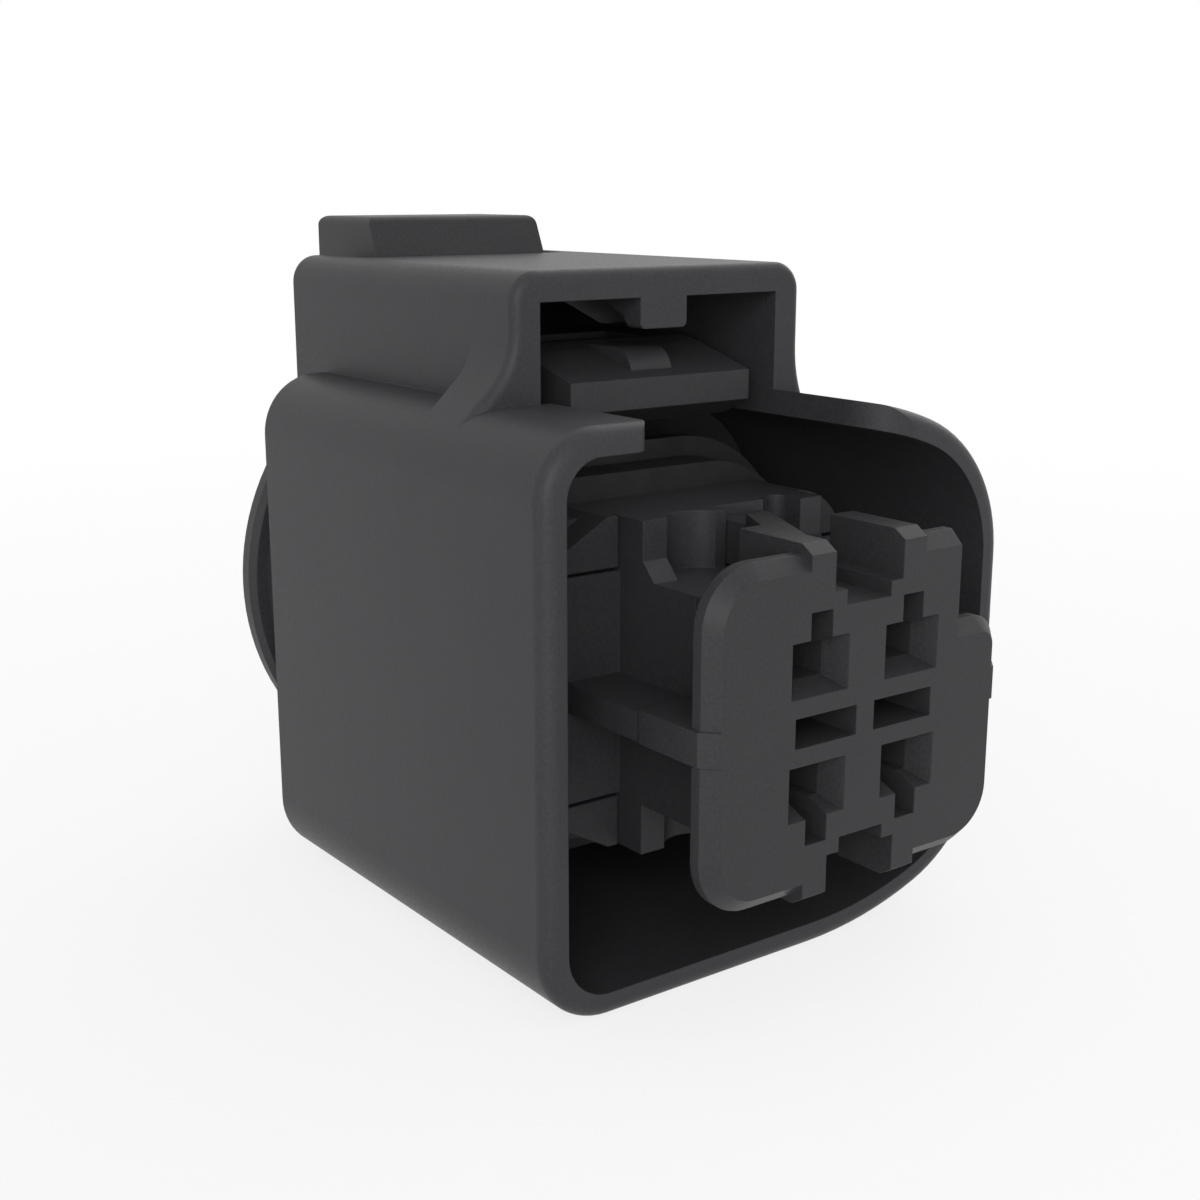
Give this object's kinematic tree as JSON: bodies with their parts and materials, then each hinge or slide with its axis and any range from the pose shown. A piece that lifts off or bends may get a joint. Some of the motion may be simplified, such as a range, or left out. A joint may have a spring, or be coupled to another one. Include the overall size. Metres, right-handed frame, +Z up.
{
  "type": "sealed plug connector",
  "caption": "Sealed plug connector housing for a wiring harness, with a guarded rocking latch, a slotted front retainer, rubber seals and a round rear cover.",
  "frame": {"origin": "centre of the overall box, on the underside of the shell that the part rests on", "axes": "+Y from the open mating side towards the wires, +Z up through the latch guard, +X to the side with the rounder shell corners"},
  "size_m": [0.0252, 0.0336, 0.0309],
  "materials": {
    "housing_plastic": "fine moulded grain",
    "retainer_plastic": "smooth moulded",
    "lever_plastic": "smooth moulded",
    "cover_plastic": "fine moulded grain",
    "seal_rubber": "matte",
    "terminal_metal": "tin plated"
  },
  "bodies": {
    "plug_body": {"housing": "housing_plastic", "front_retainer": "retainer_plastic", "interface_seal": "seal_rubber", "wire_seal": "seal_rubber", "rear_cover": "cover_plastic", "terminal_1": "terminal_metal", "terminal_2": "terminal_metal", "terminal_3": "terminal_metal", "terminal_4": "terminal_metal"},
    "lever": {"latch_lever": "lever_plastic"}
  },
  "joints": [
    {"name": "latch_rock", "type": "hinge", "parent": "plug_body", "child": "lever", "pos_m": [-0.00163, 0.0037, 0.02505], "axis": [-1, 0, 0], "range_deg": [0, 6], "stiffness_Nm_per_rad": 1}
  ]
}
